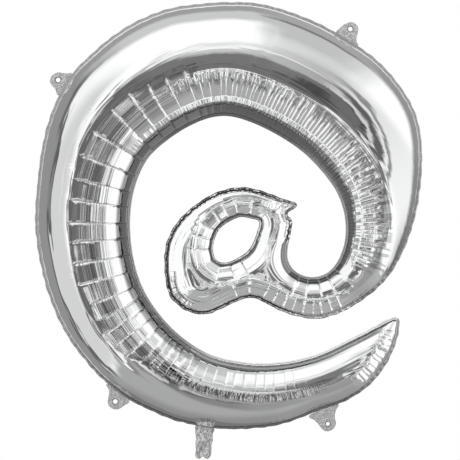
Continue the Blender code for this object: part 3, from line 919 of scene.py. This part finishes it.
# Hanging tabs: four ears of the same sheet, doubled and heat-embossed so that they don't tear,
# each with a punched hole. A tab is part of the seam, which is its hinge.
# Columns: node, middle of its hinge, way out from the hinge, hole, hole radius, rim.
tabs = [
    (
        "tab_upper_left", (-0.31957, 0.25668), (-0.85434, 0.51972), (58.2, 80), 2.35,
        [
            (58.2, 96.5), (56.8, 94), (55.4, 89.5), (52.6, 86), (50.4, 82.8), (50, 80), (51, 77),
            (54, 74), (58, 72.4), (63, 73.1), (68, 73.3), (72.8, 72.5),
        ],
    ),
    (
        "tab_upper_right", (0.23096, 0.34391), (0.51995, 0.8542), (350.3, 29), 2.3,
        [
            (336, 32.6), (340, 28), (344, 24.6), (349.5, 22.4), (353.4, 22.6), (356.6, 25),
            (358.3, 28), (358, 32), (356.8, 37), (356.6, 41), (359, 46.6),
        ],
    ),
    (
        "tab_lower_left", (-0.21598, -0.34368), (-0.58612, -0.81022), (115.3, 401.5), 2.4,
        [
            (129.5, 401.5), (124.5, 405.3), (120, 408.4), (116, 409.5), (112, 408.4), (109, 406),
            (107.8, 403), (108, 399), (109, 394), (108.8, 390), (106, 384.5),
        ],
    ),
    (
        "tab_lower_right", (0.1845, -0.37824), (0.37139, -0.92848), (327.9, 423.8), 2.0,
        [
            (339, 404.8), (336.3, 409.5), (335.2, 413.5), (335, 418), (336, 422.5), (335.3, 426),
            (333, 429), (329, 431.2), (325, 430.9), (321, 428), (317.8, 423.5), (314, 420),
            (309, 416.8),
        ],
    ),
]
rim_step = 0.0012
root_depth = 0.0044


def rim_and_root(middle, out, rim):
    """The rim from one end of the hinge to the other, then the root that is sealed in the seam."""
    middle, out = np.array(middle), np.array(out)
    along = np.array([-out[1], out[0]])
    curve = round_the_loop(to_metres(rim), rim_step)
    curve = curve[(curve - middle) @ out > 0.0004]
    place = np.argmax(np.linalg.norm(np.diff(curve, axis=0, append=curve[:1]), axis=1))
    curve = np.roll(curve, -(place + 1), axis=0)
    if (curve[0] - middle) @ along > 0:
        curve = curve[::-1]
    left_end, right_end = (curve[0] - middle) @ along, (curve[-1] - middle) @ along
    t = np.linspace(0.02, 0.98, 26)[:, None]
    arch = root_depth * np.sin(math.pi * t) ** 0.4
    root = middle + along * (right_end + (left_end - right_end) * t) - out * arch
    return np.concatenate([curve, root])


def film_plate(rims, spacing):
    """Points and triangles of a flat film inside the first rim and outside the others."""
    least_to_rim = 0.0008
    low, high = rims[0].min(axis=0), rims[0].max(axis=0)
    points = [tuple(p) for p in np.concatenate(rims)]
    tree = tree_of(np.array(points))
    step = spacing * math.sqrt(3) / 2
    for j in range(int((high[1] - low[1]) / step) + 1):
        for i in range(int((high[0] - low[0]) / spacing) + 1):
            p = (low[0] + (i + 0.5 * (j % 2)) * spacing, low[1] + j * step)
            if tree.find((p[0], p[1], 0.0))[2] > least_to_rim:
                points.append(p)
    return joined(points, rims)


def flat_film(name, out, triangles, y_front, y_back, marks):
    """A thin closed film between two surfaces that are given as y at every point."""
    points = np.concatenate([np.stack([out[:, 0], y, out[:, 1]], axis=1) for y in (y_front, y_back)])
    return skin(name, points, triangles, marks, soft_walls=False)


def across_hinge(middle, out, near, far):
    """The two points between which a film turns from the body that carries it to its own."""
    return [(float(middle[0] + out[0] * d), 0.0, float(middle[1] + out[1] * d)) for d in (near, far)]


tab_film, finish = new_finish("tab film")
place = finish.add("ShaderNodeTexCoord")["Object"]
rim_near = finish.fall(finish.stored("rim"), 0.0004, 0.0017)
creases = finish.noise(place, 120.0, 3.0, 0.6)
tone = 0.48 + creases * 0.54 - rim_near * 0.24 - finish.stored("hole_near") * 0.46
finish.surface(
    {
        "Base Color": finish.color(tone, tone, tone),
        "Metallic": 0.7,
        "Roughness": 0.26,
        "Normal": finish.raised(finish.dots(place, 330.0) * 0.0008 + creases * 0.0016, 0.9),
    }
)

# The embossing: small pressed dots that cover both faces of a tab.
embossing = bpy.data.node_groups.new("embossed dots", "GeometryNodeTree")
face = embossing.interface
face.new_socket("Geometry", in_out="OUTPUT", socket_type="NodeSocketGeometry")
inputs = {"Geometry": "Geometry", "Spacing": "Float", "Dot size": "Float", "Seed": "Int", "Film": "Material"}
for title, kind in inputs.items():
    face.new_socket(title, in_out="INPUT", socket_type="NodeSocket" + kind)
press = Tree(embossing)
given = press.add("NodeGroupInput")
from_rim = press.add("GeometryNodeInputNamedAttribute", {"data_type": "FLOAT"}, {"Name": "rim"})["Attribute"]
more, less = ({"data_type": "FLOAT", "operation": way} for way in ("GREATER_THAN", "LESS_THAN"))
off_rim = press.add("FunctionNodeCompare", more, {"A": from_rim, "B": 0.0016})["Result"]
off_root = press.add("FunctionNodeCompare", less, {"A": from_rim, "B": 0.0099})["Result"]
chosen = press.add("FunctionNodeBooleanMath", {"operation": "AND"}, {0: off_rim, 1: off_root})["Boolean"]
spread = press.add(
    "GeometryNodeDistributePointsOnFaces",
    {"distribute_method": "POISSON"},
    {
        "Mesh": given["Geometry"],
        "Selection": chosen,
        "Distance Min": given["Spacing"],
        "Density Max": 900000.0,
        "Seed": given["Seed"],
    },
)
bead = press.add("GeometryNodeMeshIcoSphere", None, {"Radius": 1.0, "Subdivisions": 1})["Mesh"]
low_bead = {0: (1.0, 1.0, 0.30), "Scale": given["Dot size"]}
squeezed = press.add("ShaderNodeVectorMath", {"operation": "SCALE"}, low_bead)["Vector"]
set_down = press.add(
    "GeometryNodeInstanceOnPoints",
    None,
    {"Points": spread["Points"], "Instance": bead, "Rotation": spread["Rotation"], "Scale": squeezed},
)["Instances"]
made = press.add("GeometryNodeRealizeInstances", None, {"Geometry": set_down})["Geometry"]
both = press.add("GeometryNodeJoinGeometry", None, {0: [made, given["Geometry"]]})["Geometry"]
coated = press.add("GeometryNodeSetMaterial", None, {"Geometry": both, "Material": given["Film"]})["Geometry"]
press.add("NodeGroupOutput", None, {0: coated})
sockets = {item.name: item.identifier for item in face.items_tree if item.in_out == "INPUT"}


def embossed(piece):
    """The piece gets its dots, as one plain mesh."""
    modifier = piece.modifiers.new("embossing", "NODES")
    modifier.node_group = embossing
    modifier[sockets["Spacing"]] = 0.0019
    modifier[sockets["Dot size"]] = 0.00055
    modifier[sockets["Seed"]] = 11
    modifier[sockets["Film"]] = tab_film
    whole = piece.evaluated_get(bpy.context.evaluated_depsgraph_get())
    mesh = bpy.data.meshes.new_from_object(whole)
    piece.modifiers.clear()
    piece.data = mesh


corners = 28
turns = np.arange(corners) * 2 * math.pi / corners
circle = np.stack([np.cos(turns), np.sin(turns)], axis=1)
tab_half, rim_bead = 0.00018, 0.00012
no_rim_at_root = 0.01
for node, middle, way_out, hole, radius, rim_points in tabs:
    edge = rim_and_root(middle, way_out, rim_points)
    hole_rim = to_metres([hole])[0] + radius * unit * circle
    out, triangles = film_plate([edge, hole_rim], 0.0016)
    reach = (out - np.array(middle)) @ np.array(way_out)
    near_rim, _ = find_in(tree_of(np.concatenate([edge, hole_rim])), out)
    near_hole, _ = find_in(tree_of(hole_rim), out)
    free = smooth_step(reach, 0.0015, 0.010)
    wave = 0.00035 * np.sin(out[:, 0] * 260 + 40 * out[:, 1]) * np.cos(out[:, 1] * 210) * free
    half_film = tab_half + rim_bead * free * (near_rim < 0.0013)
    marks = {
        "rim": near_rim + no_rim_at_root * (reach < 0.001),
        "hole_near": 1 - smooth_step(near_hole, 0.0010, 0.0024),
    }
    name = node.replace("tab_", "tab_film_")
    tab = flat_film(name, out, triangles, wave - half_film, wave + half_film, marks)
    tab.data.materials.append(tab_film)
    embossed(tab)
    start, end = across_hinge(middle, way_out, -0.0005, 0.0030)
    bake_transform(tab)
    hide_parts(node)

# The filling neck: two films sealed along their sides, with the flat valve film between them.
# It is left unsealed at the mouth and hangs crumpled from the bottom seam.
neck_middle, neck_out = np.array([-0.04694, -0.41181]), np.array([-0.17134, -0.98521])
neck_rim = [
    (214.2, 428.6), (212.9, 434), (212.9, 440), (211.6, 445), (211.6, 450), (210.8, 455),
    (208.5, 458.6), (205, 458.2), (202.6, 456.4), (200, 458.6), (196.8, 458), (195.2, 455),
    (196.0, 450), (195.4, 445), (196.0, 438), (195.3, 432), (195.8, 425.4),
]
neck_edge = rim_and_root(neck_middle, neck_out, neck_rim)

neck_film, finish = new_finish("neck film")
place = finish.add("ShaderNodeTexCoord")["Object"]
long_way = finish.add("ShaderNodeMapping", None, {"Vector": place, "Scale": (100.0, 60.0, 42.0)})["Vector"]
crumple = finish.noise(long_way, 1.0, 3.0, 0.62)
side_seal = finish.fall(finish.stored("rim"), 0.0012, 0.0022)
relief = crumple * 0.0060 + finish.dots(place, 110.0) * 0.0026 + side_seal * 0.0003
tone = crumple * 1.50 - 0.12 - side_seal * 0.12
finish.surface(
    {
        "Base Color": finish.color(tone, tone, tone),
        "Metallic": 0.8,
        "Roughness": 0.14,
        "Normal": finish.raised(relief, 0.9),
    }
)

valve_film, finish = new_finish("valve film")
cloud = finish.noise(finish.add("ShaderNodeTexCoord")["Object"], 90.0, 2.0)
tone = 0.62 + cloud * 0.16
finish.surface(
    {
        "Base Color": finish.color(tone, tone, tone),
        "Roughness": 0.45,
        "Normal": finish.raised(cloud * 0.0006),
    }
)

valve_end = to_metres([(200, 447)])[0][1]
neck_half = 0.00005
neck_layers = [
    ("neck_front", -1.0, neck_film, "neck_film"),
    ("neck_valve", 0.0, valve_film, "valve_film"),
    ("neck_back", 1.0, neck_film, "neck_film"),
]
for node, layer, material, slot in neck_layers:
    edge = neck_edge
    if node == "neck_valve":
        pulled_in = neck_edge + Seam(neck_edge, True).inward * 0.0014
        edge = np.stack([pulled_in[:, 0], np.maximum(pulled_in[:, 1], valve_end)], axis=1)
        edge = edge[np.linalg.norm(edge - np.roll(edge, 1, axis=0), axis=1) > 0.0002]
    out, triangles = film_plate([edge], 0.0015)
    reach = (out - neck_middle) @ neck_out
    along = (out - neck_middle) @ np.array([-neck_out[1], neck_out[0]])
    near_rim, _ = find_in(tree_of(neck_edge), out)
    free = smooth_step(reach, 0.0004, 0.012)
    crumple = 0.0007 * np.sin(along * 330 + 1.2 + 60 * reach) * np.cos(reach * 170)
    crumple += 0.0004 * np.sin(reach * 420 + along * 150)
    belly = 0.0006 * smooth_step(near_rim, 0.0014, 0.006)
    apart = 0.00016 + 0.00010 * smooth_step(reach, -0.001, 0.0008)
    y = crumple * free + layer * (apart + belly * free)
    marks = {"rim": near_rim + no_rim_at_root * (reach < 0.001)}
    piece = flat_film(node + "_film", out, triangles, y - neck_half, y + neck_half, marks)
    piece.data.materials.append(material)
    start, end = across_hinge(neck_middle, neck_out, -0.0010, 0.0040)
    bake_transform(piece)
    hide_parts(node)

# The lap: the top of the neck is folded over the front sheet and sealed there.
lap_rim = [
    (197.0, 421.4), (205, 421.0), (213.4, 421.4), (213.6, 425), (213.2, 427.4), (205, 426.2),
    (197.2, 424.8), (196.8, 423),
]
lap_edge = round_the_loop(to_metres(lap_rim), rim_step)
out, triangles = film_plate([lap_edge], 0.0013)
near_rim, _ = find_in(tree_of(lap_edge), out)
wave = 0.6 + 0.4 * np.sin(out[:, 0] * 900) * np.sin(out[:, 1] * 700)
swell = -0.00062 - 0.00030 * smooth_step(near_rim, 0.0, 0.002) * wave
piece = flat_film("neck_lap_film", out, triangles, swell, np.full(len(out), -0.00058), {"rim": near_rim})
piece.data.materials.append(neck_film)
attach(piece, "envelope")
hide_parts("neck_lap")

# The studio: a pale floor, soft light from the left, the right and above, and the dim room
# behind the camera, which the film mirrors as a dark line along the middle of each tube.
floor_mesh = bpy.data.meshes.new("floor")
half_side, level = 28, -3.0
floor_corners = [(half_side * x, half_side * y, level) for x, y in ((-1, -1), (1, -1), (1, 1), (-1, 1))]
floor_mesh.from_pydata(floor_corners, [], [(0, 1, 2, 3)])
floor = bpy.data.objects.new("floor", floor_mesh)
bpy.context.scene.collection.objects.link(floor)
pale, finish = new_finish("pale floor")
finish.surface({"Base Color": (0.93, 0.93, 0.93, 1.0), "Roughness": 0.9})
floor_mesh.materials.append(pale)
floor.visible_glossy = False

world = bpy.data.worlds.new("studio")
world.use_nodes = True
bpy.context.scene.world = world
finish = Tree(world.node_tree)
parts = finish.add("ShaderNodeSeparateXYZ", None, {0: finish.add("ShaderNodeTexCoord")["Generated"]})
angle = finish.add("ShaderNodeMath", {"operation": "ARCCOSINE"}, {0: parts["Y"] * -1.0})["Value"] / math.pi
flatness = finish.add("ShaderNodeMath", {"operation": "SQRT"}, {0: 1.0001 - parts["Y"] * parts["Y"]})["Value"]
sideways = parts["X"] / flatness
upwards = parts["Z"] / flatness
strongest = 2.0


def side_of_room(*panels):
    """One side of the studio, as soft-edged panels from the camera round to the back wall."""
    stops = []
    for begin, end, light in panels:
        stops += [(begin / 180.0, light / strongest), (end / 180.0, light / strongest)]
    return finish.add("ShaderNodeValToRGB", {"stops": stops}, {"Fac": angle})["Color"]


# Columns: where a panel begins and ends, in degrees off the camera's axis, and its light. The
# dim ones are the room between the panels.
left = side_of_room(
    (0, 20, 0.14), (22, 25, 0.66), (26, 29, 0.27), (32, 36, 1.10), (38, 83, 1.00), (87, 92, 0.15),
    (96, 144, 0.30), (150, 163, 0.92), (166, 180, 0.12),
)
right = side_of_room(
    (0, 5, 0.09), (8, 14, 0.22), (15.2, 15.7, 0.06), (17.6, 20, 0.93), (22, 27, 0.17), (31, 33, 1.13),
    (35, 37, 0.37), (41, 94, 1.13), (110, 144, 0.31), (150, 163, 1.05), (166, 180, 0.12),
)
above = side_of_room(
    (0, 13, 0.19), (19, 23, 0.61), (24.5, 26.5, 1.00), (28, 32, 0.84), (37, 74, 1.12), (84, 104, 0.63),
    (114, 140, 0.36), (145, 163, 0.97), (166, 180, 0.12),
)
above_right = side_of_room(
    (0, 3, 0.10), (6, 12, 0.22), (16, 23, 0.53), (24.5, 26.5, 1.00), (28, 34, 0.66), (42, 50, 0.78),
    (64, 94, 0.57), (99, 102, 0.20), (106, 140, 0.41), (145, 163, 0.97), (166, 180, 0.12),
)
below = side_of_room(
    (0, 15, 0.18), (16.5, 21, 0.98), (22.5, 24, 0.26), (28, 100, 0.42), (118, 150, 0.27),
    (154, 164, 0.52), (167, 180, 0.12),
)
below_right = side_of_room(
    (0, 12, 0.12), (16, 18, 0.33), (20, 23, 0.21), (26, 29, 0.50), (33, 50, 0.34), (62, 100, 0.47),
    (118, 150, 0.42), (154, 164, 0.62), (167, 180, 0.12),
)


def light_between(share, first, second):
    """One light that turns into another."""
    values = {"Factor": share, "A": first, "B": second}
    return finish.add("ShaderNodeMix", {"data_type": "RGBA"}, values)["Result"]


to_right = finish.step(sideways, -0.12, 0.12)
high = light_between(finish.step(sideways, 0.10, 0.34), above, above_right)
low = light_between(finish.step(sideways, 0.14, 0.34), below, below_right)
mixed = light_between(finish.step(upwards, 0.55, 0.88), light_between(to_right, left, right), high)
mixed = light_between(finish.step(upwards * -1.0 + to_right * 0.11, 0.72, 0.80), mixed, low)
seen = finish.add("ShaderNodeLightPath")["Is Camera Ray"]
white = (1 / strongest, 1 / strongest, 1 / strongest, 1.0)
shown = light_between(seen, mixed, white)
sky = finish.add("ShaderNodeBackground", None, {"Color": shown, "Strength": strongest})["Background"]
finish.add("ShaderNodeOutputWorld", None, {"Surface": sky})

# The camera stands square in front of the balloon, far enough away for a flat view, and its
# frame is as wide as the drawing's own frame of 460 units.
lens = bpy.data.cameras.new("camera")
frame_units = 460
distance = 5.0
lens.sensor_width = 36.0
lens.lens = lens.sensor_width * distance / (frame_units * unit)
camera = bpy.data.objects.new("camera", lens)
frame_middle = to_metres([(frame_units / 2, frame_units / 2)])[0]
camera.location = (float(frame_middle[0]), -distance, float(frame_middle[1]))
camera.rotation_euler = (math.pi / 2, 0, 0)
bpy.context.scene.collection.objects.link(camera)
bpy.context.scene.camera = camera
bpy.context.scene.view_settings.view_transform = "Standard"
